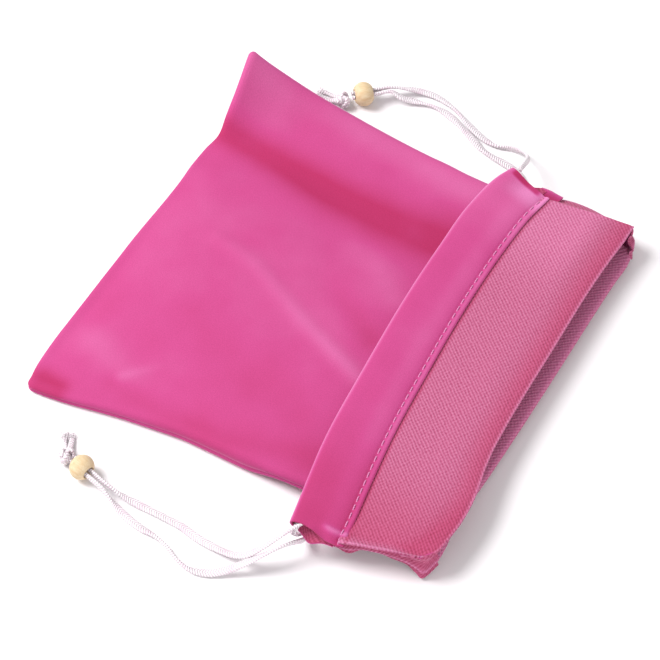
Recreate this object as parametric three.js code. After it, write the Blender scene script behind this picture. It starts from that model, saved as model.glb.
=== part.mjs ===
// A velvet drawstring gift pouch, lying flat on its back with its mouth turned out into a cuff.
// Millimetres. +X runs from the closed end to the mouth, +Y across the pouch, +Z up from the table.
// The cloth is stacked in layers: under the pouch the back hem, its cord, the back cuff and the back
// panel, then the inside of the pouch, then the front panel, the front cuff, its cord and the front hem.
import * as THREE from "three";

// Driving dimensions
const CLOTH = 0.9; // thickness of the velvet
const GAP = 0.3; // air between two layers that touch
const CORD_WIDTH = 3.0; // the drawstring is a flat braid
const CORD_THICKNESS = 1.2;
const CLOSED_END = -76.6; // the outside of the bottom seam
const FRONT_FOLD = 75.4; // where the front of the mouth turns back
const BACK_FOLD = 76.6;
const HALF_WIDTH = 77.0; // of the body, seams included
const CUFF_HALF_WIDTH = 77.7; // the cuff goes round the body
const CUFF_DEPTH = 56; // from the mouth's fold to the cuff's free edge
const HEM_DEPTH = 18; // of the cord channel, from the free edge to its stitching
const HEM_TAIL = 2.2; // raw edge beyond the stitching
const ALLOWANCE = 4.0; // seam allowance that stands out of the turned cuff
const ALLOWANCE_FROM_FOLD = 28; // it ends here, short of the channel's open end
const INSIDE_HEIGHT = 5.9; // between the front and back panels at the mouth
const TOE_JOINT = -62.5; // the front panel flexes about this line when the mouth opens
const TOE_GAP = 0.8;
const NEAR_CORD_X = 33.5; // where each cord runs in the channels
const FAR_CORD_X = 26.5;
const STRAND_RADIUS = 0.8; // round section with the flat braid's area, for the free strands
const STRAND_OFFSET = 1.0; // of each strand from the middle of the bead's bore
const BEAD_RADIUS = 4.4;
const BEAD_HALF_LENGTH = 3.4;
const BORE_RADIUS = 2.15;
const KNOT_RADIUS = 2.9;
const KNOT_HALF_LENGTH = 2.6;
const KNOT_FROM_BEAD = 7.6; // centre to centre
const TASSEL_RADIUS = 1.3;
const BEAD_RUN = 10; // straight doubled strands on which the bead slides

// Heights of the underside of each layer, from the table up
const BACK_HEM_Z = 0;
const BACK_CORD_Z = BACK_HEM_Z + CLOTH + GAP;
const BACK_CUFF_Z = BACK_CORD_Z + CORD_THICKNESS + GAP;
const BACK_PANEL_Z = BACK_CUFF_Z + CLOTH + GAP;
const FRONT_PANEL_Z = BACK_PANEL_Z + CLOTH + INSIDE_HEIGHT;
const FRONT_CUFF_Z = FRONT_PANEL_Z + CLOTH + GAP;
const FRONT_CORD_Z = FRONT_CUFF_Z + CLOTH + GAP;
const FRONT_HEM_Z = FRONT_CORD_Z + CORD_THICKNESS + GAP;

const velvet = new THREE.MeshStandardMaterial({ color: 0xe0559b, roughness: 0.85, metalness: 0 });
const knit = new THREE.MeshStandardMaterial({ color: 0xdc6f9f, roughness: 0.9, metalness: 0 });
const thread = new THREE.MeshStandardMaterial({ color: 0xd64a8c, roughness: 0.8, metalness: 0 });
const satin = new THREE.MeshStandardMaterial({ color: 0xf6e8ef, roughness: 0.5, metalness: 0 });
const wood = new THREE.MeshStandardMaterial({ color: 0xf3dfb6, roughness: 0.6, metalness: 0 });

const pouch = new THREE.Group();

function add(name, geometry, material) {
  const mesh = new THREE.Mesh(geometry, material);
  mesh.name = name;
  pouch.add(mesh);
  return mesh;
}

// 0 below from, 1 above to, and a smooth rise between.
function ramp(value, from, to) {
  const t = Math.min(Math.max((value - from) / (to - from), 0), 1);
  return t * t * (3 - 2 * t);
}

// The far corner of the closed end lifts like a dog ear beyond a crease across the corner.
const EAR_CREASE = { x: -76, y: 46, alongX: 56, alongY: 32 };
const EAR_REACH = 26; // from the crease to the corner
const EAR_HEIGHT = 19;
const EAR_SHAPE = 1.5;

function earHeight(x, y) {
  const length = Math.hypot(EAR_CREASE.alongX, EAR_CREASE.alongY);
  const across = (y - EAR_CREASE.y) * EAR_CREASE.alongX - (x - EAR_CREASE.x) * EAR_CREASE.alongY;
  const beyond = Math.max(across / length, 0) / EAR_REACH;
  return EAR_HEIGHT * Math.pow(beyond, EAR_SHAPE);
}

// Underside of the back panel: on the table, then up over the turned-out back cuff.
const CLIMB_FROM = 2;
const CLIMB_TO = 18;

function backHeight(x, y) {
  return BACK_PANEL_Z * ramp(x, CLIMB_FROM, CLIMB_TO) + earHeight(x, y);
}

// Room between the two panels: closed along the seams, open at the mouth.
const SEAM_ROOM = 1.2;
const PUFF = 5.4;
const NEAR_CORNER_ROOM = 1.4;
const ROOM_FROM = -14; // the room grows to its full height between these places
const ROOM_TO = 20;

function roomInside(x, y) {
  const across = 1 - Math.pow(Math.abs(y) / HALF_WIDTH, 3);
  const along = ramp(x, CLOSED_END, CLOSED_END + 30);
  const corner = NEAR_CORNER_ROOM * ramp(-y, 40, 76) * ramp(-x, 20, 76);
  const body = SEAM_ROOM + PUFF * across * along + corner;
  return THREE.MathUtils.lerp(body, INSIDE_HEIGHT, ramp(x, ROOM_FROM, ROOM_TO));
}

function frontHeight(x, y) {
  return backHeight(x, y) + CLOTH + roomInside(x, y);
}

// A closed sheet of cloth over a rectangle, its underside at height(x, y).
function clothSheet(x0, x1, y0, y1, thickness, stepsX, stepsY, height) {
  const geometry = new THREE.BoxGeometry(x1 - x0, y1 - y0, thickness, stepsX, stepsY, 1);
  geometry.translate((x0 + x1) / 2, (y0 + y1) / 2, thickness / 2);
  const position = geometry.attributes.position;
  for (let i = 0; i < position.count; i++) {
    const lift = height(position.getX(i), position.getY(i));
    position.setZ(i, position.getZ(i) + lift);
  }
  return geometry;
}

// A section drawn in X and Z, extruded along Y over the width of the cuff.
function acrossPouch(points, y0, y1) {
  const shape = new THREE.Shape(points.map(([x, z]) => new THREE.Vector2(x, z)));
  const geometry = new THREE.ExtrudeGeometry(shape, { depth: y1 - y0, bevelEnabled: false });
  geometry.rotateX(Math.PI / 2);
  geometry.translate(0, y1, 0);
  return geometry;
}

function block(x0, x1, y0, y1, z0, z1) {
  const geometry = new THREE.BoxGeometry(x1 - x0, y1 - y0, z1 - z0);
  geometry.translate((x0 + x1) / 2, (y0 + y1) / 2, (z0 + z1) / 2);
  return geometry;
}

// A cord along a smooth curve through hand-placed points.
const CORD_SIDES = 8;

function cordTube(points, radius, steps) {
  const section = new THREE.Shape();
  for (let i = 0; i < CORD_SIDES; i++) {
    const angle = (2 * Math.PI * (i + 0.5)) / CORD_SIDES;
    const x = radius * Math.cos(angle);
    const y = radius * Math.sin(angle);
    if (i === 0) section.moveTo(x, y);
    else section.lineTo(x, y);
  }
  section.closePath();
  const route = new THREE.CatmullRomCurve3(points, false, "centripetal");
  return new THREE.ExtrudeGeometry(section, { steps, bevelEnabled: false, extrudePath: route });
}

// Turns a lathed shape from its own Y axis to a direction, and puts it at a point.
function alongDirection(geometry, centre, direction) {
  const turn = new THREE.Quaternion().setFromUnitVectors(new THREE.Vector3(0, 1, 0), direction);
  geometry.applyQuaternion(turn);
  geometry.translate(centre.x, centre.y, centre.z);
  return geometry;
}

const ROUND_SEGMENTS = 24;

// Back and front panels, and the threads and allowances of the seams that join them
const SEAM_THICKNESS = 0.5;
const SEAM_WIDTH = 5;
const BOTTOM_SEAM_WIDTH = 4;

function addPanels() {
  const w = HALF_WIDTH;
  add("back_panel", clothSheet(CLOSED_END, BACK_FOLD, -w, w, CLOTH, 26, 22, backHeight), velvet);
  const toeEnd = TOE_JOINT - TOE_GAP / 2;
  add("front_panel_toe", clothSheet(CLOSED_END, toeEnd, -w, w, CLOTH, 3, 22, frontHeight), velvet);
  const start = TOE_JOINT + TOE_GAP / 2;
  add("front_panel", clothSheet(start, FRONT_FOLD - 0.4, -w, w, CLOTH, 22, 22, frontHeight), velvet);
}

function addSeams() {
  const middle = (x, y) => backHeight(x, y) + CLOTH + (roomInside(x, y) - SEAM_THICKNESS) / 2;
  const sideStart = CLOSED_END + BOTTOM_SEAM_WIDTH + GAP;
  const inner = HALF_WIDTH - SEAM_WIDTH;
  const outer = HALF_WIDTH - 0.4;
  const side = (y0, y1) => clothSheet(sideStart, FRONT_FOLD - 2, y0, y1, SEAM_THICKNESS, 22, 1, middle);
  add("near_side_seam", side(-outer, -inner), thread);
  add("far_side_seam", side(inner, outer), thread);
  const bottomEnd = CLOSED_END + BOTTOM_SEAM_WIDTH;
  const bottom = clothSheet(CLOSED_END + 0.4, bottomEnd, -outer, outer, SEAM_THICKNESS, 1, 22, middle);
  add("bottom_seam", bottom, thread);
}

// One cuff: the turned-back cloth, the hem that folds over its free edge, the stitching that closes
// the channel, and the two side allowances. Outward is +1 for the front and -1 for the back.
function addCuff(side, foldX, cuffZ, outward) {
  const free = foldX - CUFF_DEPTH;
  const w = CUFF_HALF_WIDTH;
  const inFace = outward > 0 ? cuffZ : cuffZ + CLOTH; // the face towards the pouch's body
  const level = (steps) => inFace + outward * steps;
  const channel = CORD_THICKNESS + 2 * GAP;
  const hemIn = level(CLOTH + channel);
  const hemOut = level(2 * CLOTH + channel);
  const wall = free + CLOTH;
  const hemEnd = free + HEM_DEPTH + HEM_TAIL;
  const cuffStart = wall + GAP;

  add(`${side}_cuff`, block(cuffStart, foldX - 0.4, -w, w, cuffZ, cuffZ + CLOTH), knit);

  const hem = [[free, inFace], [wall, inFace], [wall, hemIn], [hemEnd, hemIn], [hemEnd, hemOut], [free, hemOut]];
  if (outward < 0) hem.reverse();
  add(`${side}_hem`, acrossPouch(hem, -w, w), velvet);

  const stitchX = free + HEM_DEPTH;
  const stitchLow = Math.min(level(CLOTH + GAP), level(CLOTH + GAP + CORD_THICKNESS));
  const stitching = block(stitchX - 0.4, stitchX + 0.4, 1 - w, w - 1, stitchLow, stitchLow + CORD_THICKNESS);
  add(`${side}_hem_stitching`, stitching, thread);

  const tabStart = foldX - ALLOWANCE_FROM_FOLD;
  const tabEnd = foldX - 2.5;
  for (const [name, sign] of [["near", -1], ["far", 1]]) {
    const y0 = Math.min(sign * (w + GAP), sign * (w + GAP + ALLOWANCE));
    const tab = block(tabStart, tabEnd, y0, y0 + ALLOWANCE, cuffZ, cuffZ + CLOTH);
    add(`${side}_cuff_${name}_allowance`, tab, knit);
  }
}

// A cord's straight run through a channel: a flat braid with bevelled edges.
const BRAID_BEVEL = 0.35;

function channelRun(x, z) {
  const w = CORD_WIDTH / 2;
  const h = CORD_THICKNESS;
  const b = BRAID_BEVEL;
  const section = [
    [x - w + b, z], [x + w - b, z], [x + w, z + b], [x + w, z + h - b],
    [x + w - b, z + h], [x - w + b, z + h], [x - w, z + h - b], [x - w, z + b],
  ];
  return acrossPouch(section, -CUFF_HALF_WIDTH, CUFF_HALF_WIDTH);
}

// The loop in which a cord passes from the front channel to the back one, outside the side of the cuff.
const LOOP_STEPS = 10;
const LOOP_BULGE = 3.6;

function crossingLoop(x, sign) {
  const high = FRONT_CORD_Z + CORD_THICKNESS / 2;
  const low = BACK_CORD_Z + CORD_THICKNESS / 2;
  const start = CUFF_HALF_WIDTH + GAP;
  const points = [];
  for (let i = 0; i <= LOOP_STEPS; i++) {
    const angle = (Math.PI * i) / LOOP_STEPS;
    const z = (high + low) / 2 + ((high - low) / 2) * Math.cos(angle);
    points.push(new THREE.Vector3(x, sign * (start + LOOP_BULGE * Math.sin(angle)), z));
  }
  return cordTube(points, CORD_THICKNESS / 2, 2 * LOOP_STEPS);
}

// Free ends of each cord. The routes run from the channel's end to the straight stretch at the bead.
// The direction of a cord points from its knot, through the bead, towards the pouch.
const CORDS = {
  near: {
    channelX: NEAR_CORD_X,
    side: -1,
    bead: new THREE.Vector3(-43.5, -95.9, BEAD_RADIUS),
    angle: THREE.MathUtils.degToRad(-14),
    tasselEnd: new THREE.Vector3(-56.2, -84.6, 1.5),
    routes: {
      front: [
        [33.4, -81.4, 13.4], [31.4, -84.4, 12.5], [28.6, -88.9, 10.9], [24.8, -93.8, 7.9], [21.0, -97.2, 5.0],
        [16.4, -98.4, 2.9], [9.5, -98.4, 1.4], [2.2, -98.0, 0.9], [-4.5, -96.9, 0.9], [-11.3, -96.8, 0.9],
        [-18.4, -96.9, 0.9], [-24.5, -97.1, 1.4], [-29.3, -97.4, 3.0],
      ],
      back: [
        [33.8, -82.0, 3.4], [33.6, -84.8, 6.4], [31.0, -89.4, 8.3], [26.6, -95.3, 7.3], [21.6, -100.4, 4.4],
        [17.0, -104.4, 2.0], [12.1, -107.6, 0.9], [6.4, -109.2, 0.9], [0.9, -108.4, 0.9], [-4.7, -105.9, 0.9],
        [-10.0, -104.4, 0.9], [-15.6, -104.1, 0.9], [-21.8, -103.0, 0.9], [-27.0, -101.4, 1.5],
        [-30.6, -100.3, 3.1],
      ],
    },
  },
  far: {
    channelX: FAR_CORD_X,
    side: 1,
    bead: new THREE.Vector3(-40.5, 85.9, BEAD_RADIUS),
    angle: THREE.MathUtils.degToRad(42),
    tasselEnd: new THREE.Vector3(-57.0, 80.6, 1.5),
    routes: {
      front: [
        [26.4, 82.2, 12.6], [25.6, 86.0, 9.6], [23.6, 89.9, 6.2], [19.9, 92.6, 3.2], [15.6, 93.2, 1.4],
        [10.7, 91.9, 0.9], [5.7, 92.2, 0.9], [-0.3, 94.1, 0.9], [-5.9, 96.8, 0.9], [-11.1, 98.9, 0.9],
        [-17.9, 100.3, 0.9], [-23.8, 99.4, 1.4], [-28.6, 96.8, 3.0],
      ],
      back: [
        [26.0, 81.6, 1.7], [24.2, 83.9, 1.2], [20.5, 85.8, 0.9], [15.5, 86.6, 0.9], [11.4, 87.0, 0.9],
        [6.6, 88.0, 0.9], [1.6, 90.2, 0.9], [-3.1, 92.4, 0.9], [-8.3, 94.5, 0.9], [-14.6, 96.0, 0.9],
        [-19.9, 95.6, 0.9], [-24.8, 94.0, 1.5], [-28.6, 92.2, 3.0],
      ],
    },
  },
};
const EXIT_GAP = 0.8; // from the channel's end to the start of the free strand
const STRAND_STEPS = 46;

function addCord(name, cord) {
  const { channelX, side, bead, angle } = cord;
  const direction = new THREE.Vector3(Math.cos(angle), Math.sin(angle), 0);
  const sideways = new THREE.Vector3(-Math.sin(angle), Math.cos(angle), 0);
  const exitY = side * (CUFF_HALF_WIDTH + EXIT_GAP);
  const layers = [
    ["front", FRONT_CORD_Z, -side],
    ["back", BACK_CORD_Z, side],
  ];
  for (const [layer, z, across] of layers) {
    add(`${name}_cord_${layer}_run`, channelRun(channelX, z), satin);
    const points = [new THREE.Vector3(channelX, exitY, z + CORD_THICKNESS / 2)];
    for (const [x, y, height] of cord.routes[layer]) points.push(new THREE.Vector3(x, y, height));
    const offset = sideways.clone().multiplyScalar(name === "near" ? across * STRAND_OFFSET : -across * STRAND_OFFSET);
    for (const s of [BEAD_RUN, BEAD_RUN / 2, 0, -BEAD_HALF_LENGTH - 0.9]) {
      points.push(bead.clone().addScaledVector(direction, s).add(offset));
    }
    add(`${name}_cord_${layer}_strand`, cordTube(points, STRAND_RADIUS, STRAND_STEPS), satin);
  }
  add(`${name}_cord_crossing`, crossingLoop(channelX, -side), satin);
  add(`${name}_bead`, alongDirection(beadShape(), bead, direction), wood);

  const knotCentre = bead.clone().addScaledVector(direction, -KNOT_FROM_BEAD).setZ(KNOT_RADIUS);
  add(`${name}_knot`, alongDirection(knotShape(), knotCentre, direction), satin);
  const flat = cord.tasselEnd.clone().sub(knotCentre).normalize();
  const start = knotCentre.clone().addScaledVector(flat, KNOT_RADIUS + GAP);
  const length = cord.tasselEnd.distanceTo(start);
  add(`${name}_cord_ends`, alongDirection(tasselShape(length), start, flat), satin);
}

// A wooden bead: a flattened ball with a bore, as a closed ring profile.
function beadShape() {
  const profile = [];
  const shoulder = Math.asin(0.55);
  const steps = 10;
  for (let i = 0; i <= steps; i++) {
    const angle = -Math.PI / 2 + shoulder + ((Math.PI - 2 * shoulder) * i) / steps;
    const y = (BEAD_HALF_LENGTH * Math.sin(angle)) / Math.cos(shoulder);
    profile.push(new THREE.Vector2(BEAD_RADIUS * Math.cos(angle), y));
  }
  profile.push(new THREE.Vector2(BORE_RADIUS, BEAD_HALF_LENGTH));
  profile.push(new THREE.Vector2(BORE_RADIUS, -BEAD_HALF_LENGTH));
  profile.push(profile[0].clone());
  return new THREE.LatheGeometry(profile, ROUND_SEGMENTS);
}

function knotShape() {
  const profile = [];
  const steps = 8;
  for (let i = 0; i <= steps; i++) {
    const angle = -Math.PI / 2 + (Math.PI * i) / steps;
    const radius = i === 0 || i === steps ? 0 : KNOT_RADIUS * Math.cos(angle);
    profile.push(new THREE.Vector2(radius, KNOT_HALF_LENGTH * Math.sin(angle)));
  }
  return new THREE.LatheGeometry(profile, ROUND_SEGMENTS / 2);
}

// The cord's two frayed ends, as one brush that widens away from the knot.
function tasselShape(length) {
  const profile = [[0, 0], [0.7, 0], [TASSEL_RADIUS, length * 0.7], [TASSEL_RADIUS * 0.8, length], [0, length]];
  return new THREE.LatheGeometry(profile.map(([x, y]) => new THREE.Vector2(x, y)), ROUND_SEGMENTS / 2);
}

addPanels();
addSeams();
addCuff("back", BACK_FOLD, BACK_CUFF_Z, -1);
addCuff("front", FRONT_FOLD, FRONT_CUFF_Z, 1);
addCord("near", CORDS.near);
addCord("far", CORDS.far);

export default pouch;
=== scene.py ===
"""A velvet drawstring gift pouch lying on a table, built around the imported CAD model.

Metres in the CAD frame: +X from the closed end to the mouth, +Y across the pouch, +Z up.
Shapes are worked out in millimetres and turned into metres when a mesh is made.
"""

import math

import bpy
import numpy as np
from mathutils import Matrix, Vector, noise


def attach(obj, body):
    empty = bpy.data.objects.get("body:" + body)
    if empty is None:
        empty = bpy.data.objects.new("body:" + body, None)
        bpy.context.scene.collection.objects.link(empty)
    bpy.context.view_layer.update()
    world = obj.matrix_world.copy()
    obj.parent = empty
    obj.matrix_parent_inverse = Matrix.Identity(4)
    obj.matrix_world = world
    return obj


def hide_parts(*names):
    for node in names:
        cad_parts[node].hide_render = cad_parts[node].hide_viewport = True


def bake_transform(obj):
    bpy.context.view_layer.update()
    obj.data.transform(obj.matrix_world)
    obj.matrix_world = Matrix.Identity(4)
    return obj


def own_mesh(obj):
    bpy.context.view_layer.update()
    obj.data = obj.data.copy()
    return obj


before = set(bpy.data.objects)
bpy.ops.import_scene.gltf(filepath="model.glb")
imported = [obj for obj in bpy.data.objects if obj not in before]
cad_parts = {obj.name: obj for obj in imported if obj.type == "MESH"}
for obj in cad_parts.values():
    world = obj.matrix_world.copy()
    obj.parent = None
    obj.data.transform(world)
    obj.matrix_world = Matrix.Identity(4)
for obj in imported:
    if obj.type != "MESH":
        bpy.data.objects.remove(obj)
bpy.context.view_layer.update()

MM = 0.001

# ---------------------------------------------------------------- camera
AZIMUTH = math.radians(30.24)
ELEVATION = math.radians(56.5)
DISTANCE = 1.126
PAN_RIGHT = -0.0027
PAN_UP = -0.00621


def add_camera():
    back = Vector(
        (
            math.sin(AZIMUTH) * math.cos(ELEVATION),
            -math.cos(AZIMUTH) * math.cos(ELEVATION),
            math.sin(ELEVATION),
        )
    )
    right = (-back).cross(Vector((0, 0, 1))).normalized()
    up = right.cross(-back)
    aim = Vector((-0.0012, 0, 0.005)) + right * PAN_RIGHT + up * PAN_UP
    data = bpy.data.cameras.new("camera")
    data.lens = 180
    data.sensor_width = 36
    camera = bpy.data.objects.new("camera", data)
    camera.location = aim + back * DISTANCE
    camera.rotation_mode = "QUATERNION"
    camera.rotation_quaternion = (-back).to_track_quat("-Z", "Y")
    bpy.context.scene.collection.objects.link(camera)
    bpy.context.scene.camera = camera


add_camera()


# ---------------------------------------------------------------- curves and heights
def spline(knots, values, where):
    """A smooth curve through values at knots, sampled at where."""
    knots = np.asarray(knots, float)
    values = np.asarray(values, float)
    where = np.asarray(where, float)
    slopes = np.gradient(values, knots, axis=0)
    i = np.clip(np.searchsorted(knots, where, side="right") - 1, 0, len(knots) - 2)
    step = knots[i + 1] - knots[i]
    t = np.clip((where - knots[i]) / step, 0, 1)
    if values.ndim == 2 and where.ndim == 1 and values.shape[1] == len(where) and len(where) > 3:
        column = np.arange(len(where))
        low, high = values[i, column], values[i + 1, column]
        rise, fall = slopes[i, column], slopes[i + 1, column]
    else:
        low, high, rise, fall = values[i], values[i + 1], slopes[i], slopes[i + 1]
        if values.ndim == 2:
            t = t[..., None]
            step = step[..., None]
    return (
        low * (1 + 2 * t) * (1 - t) ** 2
        + high * t**2 * (3 - 2 * t)
        + rise * step * t * (1 - t) ** 2
        - fall * step * t**2 * (1 - t)
    )


def curve(points):
    """A function of 0..1 that runs along a smooth line through the points."""
    points = np.asarray(points, float)
    along = np.concatenate([[0], np.cumsum(np.linalg.norm(np.diff(points, axis=0), axis=1))])
    along /= along[-1]

    def at(share):
        columns = [spline(along, points[:, k], share) for k in range(points.shape[1])]
        return np.stack(columns, axis=-1)

    return at


def ramp(value, start, end):
    t = np.clip((np.asarray(value, float) - start) / (end - start), 0, 1)
    return t * t * (3 - 2 * t)


def wrinkles(x, y, size, seed):
    """Smooth seeded noise of about -1..1 over the cloth, in lumps of the given size."""
    flat = [
        noise.noise(Vector((a / size, b / size, seed)))
        for a, b in zip(np.ravel(x), np.ravel(y))
    ]
    return np.reshape(flat, np.shape(x))


# ---------------------------------------------------------------- meshes
def link(mesh, name):
    obj = bpy.data.objects.new(name, mesh)
    bpy.context.scene.collection.objects.link(obj)
    return obj


def make_mesh(name, points_mm, faces, materials, material_index=None, cloth=None, painted_shading=None):
    mesh = bpy.data.meshes.new(name)
    mesh.from_pydata((np.asarray(points_mm, float) * MM).tolist(), [], faces)
    for material in materials:
        mesh.materials.append(material)
    if material_index is not None:
        mesh.polygons.foreach_set("material_index", np.asarray(material_index, np.int32))
    if cloth is not None:
        attribute = mesh.attributes.new("cloth", "FLOAT_VECTOR", "POINT")
        attribute.data.foreach_set("vector", (np.asarray(cloth, np.float32) * MM).ravel())
    if painted_shading is not None:
        attribute = mesh.attributes.new("painted_shading", "FLOAT", "POINT")
        attribute.data.foreach_set("value", np.asarray(painted_shading, np.float32).ravel())
    mesh.update()
    mesh.shade_smooth()
    mesh.set_sharp_from_angle(angle=math.radians(60))
    return link(mesh, name)


def grid_faces(rows, columns, first=0, flip=False):
    faces = []
    for i in range(rows - 1):
        for j in range(columns - 1):
            a = first + i * columns + j
            quad = (a, a + columns, a + columns + 1, a + 1)
            faces.append(quad[::-1] if flip else quad)
    return faces


def grid_normals(surface, flip):
    along = np.gradient(surface, axis=0)
    across = np.gradient(surface, axis=1)
    normal = np.cross(along, across)
    normal /= np.maximum(np.linalg.norm(normal, axis=2, keepdims=True), 1e-9)
    return -normal if flip else normal


def arc_lengths(surface, axis):
    """Distance along each grid line, in millimetres."""
    steps = np.linalg.norm(np.diff(surface, axis=axis), axis=2)
    pad = [(0, 0), (0, 0)]
    pad[axis] = (1, 0)
    return np.pad(np.cumsum(steps, axis=axis), pad)


def shell(
    name, surface, thickness, outer, inner, flip=False, cloth=None, rows=None, columns=None,
    painted_shading=None, inner_painted_shading=0.0,
):
    """A sheet of cloth from a grid of points on its outer face. The inner face is offset along the
    normals. flip turns the outer side over. rows and columns cut a part out of the grid, which keeps
    the shading of the whole. The last two arguments are painted shade and highlight stored on the
    mesh: one value per point of the outer face, from -1 for dark painted shade up to 2 for a pale
    painted highlight, and one value for the whole inner face."""
    surface = np.asarray(surface, float)
    normal = grid_normals(surface, flip)
    if cloth is None:
        cloth = np.stack([arc_lengths(surface, 0), arc_lengths(surface, 1)], axis=2)
    cloth = np.concatenate([cloth, np.zeros(cloth.shape[:2] + (1,))], axis=2)
    inside = surface - normal * thickness
    cut = (slice(*rows) if rows else slice(None), slice(*columns) if columns else slice(None))
    painted_shading = np.zeros(surface.shape[:2]) if painted_shading is None else np.asarray(painted_shading, float)
    surface, inside, normal, cloth, painted_shading = surface[cut], inside[cut], normal[cut], cloth[cut], painted_shading[cut]
    n_rows, n_columns = surface.shape[:2]
    count = n_rows * n_columns
    faces = grid_faces(n_rows, n_columns, 0, flip)
    index = [0] * len(faces)
    back = grid_faces(n_rows, n_columns, count, not flip)
    faces += back
    index += [1] * len(back)
    ring = [(0, j) for j in range(n_columns - 1)]
    ring += [(i, n_columns - 1) for i in range(n_rows - 1)]
    ring += [(n_rows - 1, j) for j in range(n_columns - 1, 0, -1)]
    ring += [(i, 0) for i in range(n_rows - 1, 0, -1)]
    for (i0, j0), (i1, j1) in zip(ring, ring[1:] + ring[:1]):
        a = i0 * n_columns + j0
        b = i1 * n_columns + j1
        quad = (a, b, b + count, a + count)
        faces.append(quad[::-1] if flip else quad)
        index.append(0)
    points = np.concatenate([surface.reshape(-1, 3), inside.reshape(-1, 3)])
    flat = np.concatenate([cloth.reshape(-1, 3), cloth.reshape(-1, 3)])
    painted_shading = np.concatenate([painted_shading.ravel(), np.full(count, inner_painted_shading)])
    return make_mesh(name, points, faces, [outer, inner], index, flat, painted_shading)


def tube_along(line, side, up, half_width, half_height, sections=12, power=2.6):
    """Vertices and faces of a closed tube of flattened round section along a line."""
    count = len(line)
    points = []
    cloth = []
    along = np.concatenate([[0], np.cumsum(np.linalg.norm(np.diff(line, axis=0), axis=1))])
    for k in range(sections):
        angle = 2 * math.pi * k / sections
        c, s = math.cos(angle), math.sin(angle)
        a = np.sign(c) * abs(c) ** (2 / power) * half_width
        b = np.sign(s) * abs(s) ** (2 / power) * half_height
        points.append(line + side * np.reshape(a, (-1, 1)) + up * np.reshape(b, (-1, 1)))
        width = np.broadcast_to(np.reshape(a, (-1,)), (count,))
        cloth.append(np.stack([along, width, np.full(count, b if np.ndim(b) == 0 else 0.0)], axis=1))
    points = np.stack(points, axis=1).reshape(-1, 3)
    cloth = np.stack(cloth, axis=1).reshape(-1, 3)
    faces = []
    for i in range(count - 1):
        for k in range(sections):
            a = i * sections + k
            b = i * sections + (k + 1) % sections
            faces.append((a, b, b + sections, a + sections))
    faces.append(tuple(range(sections))[::-1])
    last = (count - 1) * sections
    faces.append(tuple(last + k for k in range(sections)))
    return points, faces, cloth


def merged(parts):
    """Joins several (points, faces, cloth) into one."""
    points, faces, cloth, first = [], [], [], 0
    for p, f, c in parts:
        points.append(p)
        cloth.append(c)
        faces += [tuple(first + v for v in face) for face in f]
        first += len(p)
    return np.concatenate(points), faces, np.concatenate(cloth)


# ---------------------------------------------------------------- materials
class Nodes:
    """Short hand for building a material's nodes."""

    def __init__(self, name):
        self.material = bpy.data.materials.new(name)
        self.material.use_nodes = True
        self.tree = self.material.node_tree
        self.tree.nodes.clear()
        self.output = self.tree.nodes.new("ShaderNodeOutputMaterial")
        self.shader = self.tree.nodes.new("ShaderNodeBsdfPrincipled")
        self.join(self.shader.outputs["BSDF"], self.output.inputs["Surface"])

    def join(self, a, b):
        self.tree.links.new(a, b)

    def node(self, kind, inputs=(), **settings):
        made = self.tree.nodes.new("ShaderNode" + kind)
        for key, value in settings.items():
            setattr(made, key, value)
        for key, value in dict(inputs).items():
            if isinstance(value, bpy.types.NodeSocket):
                self.join(value, made.inputs[key])
            else:
                made.inputs[key].default_value = value
        return made

    def math(self, operation, a, b=0.0):
        return self.node("Math", {0: a, 1: b}, operation=operation).outputs[0]

    def cloth(self):
        """Flat coordinates of the cloth, in metres."""
        return self.node("Attribute", attribute_name="cloth").outputs["Vector"]

    def noise(self, vector, scale, detail=2.0, roughness=0.5):
        inputs = {"Vector": vector, "Scale": scale, "Detail": detail, "Roughness": roughness}
        return self.node("TexNoise", inputs).outputs["Fac"]

    def mix(self, share, a, b):
        made = self.node("Mix", {0: share, 6: a, 7: b}, data_type="RGBA")
        return made.outputs[2]

    def between(self, value, low, high, out_low=0.0, out_high=1.0):
        inputs = {"Value": value, 1: low, 2: high, 3: out_low, 4: out_high}
        return self.node("MapRange", inputs).outputs["Result"]

    def bump(self, height, distance, strength=1.0):
        made = self.node("Bump", {"Height": height, "Distance": distance, "Strength": strength})
        self.join(made.outputs["Normal"], self.shader.inputs["Normal"])

    def set(self, **values):
        for key, value in values.items():
            self.shader.inputs[key.replace("_", " ")].default_value = value

    def colour(self, socket):
        self.join(socket, self.shader.inputs["Base Color"])


def stripes(nodes, vector, angle, pitch, wobble=None):
    """-1..1 waves across the cloth at an angle, pitch in metres. wobble bends them."""
    parts = nodes.node("SeparateXYZ", {"Vector": vector}).outputs
    a = nodes.math("MULTIPLY", parts["X"], math.cos(angle) * 2 * math.pi / pitch)
    b = nodes.math("MULTIPLY", parts["Y"], math.sin(angle) * 2 * math.pi / pitch)
    phase = nodes.math("ADD", a, b)
    if wobble is not None:
        phase = nodes.math("ADD", phase, wobble)
    return nodes.math("SINE", phase)


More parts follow.
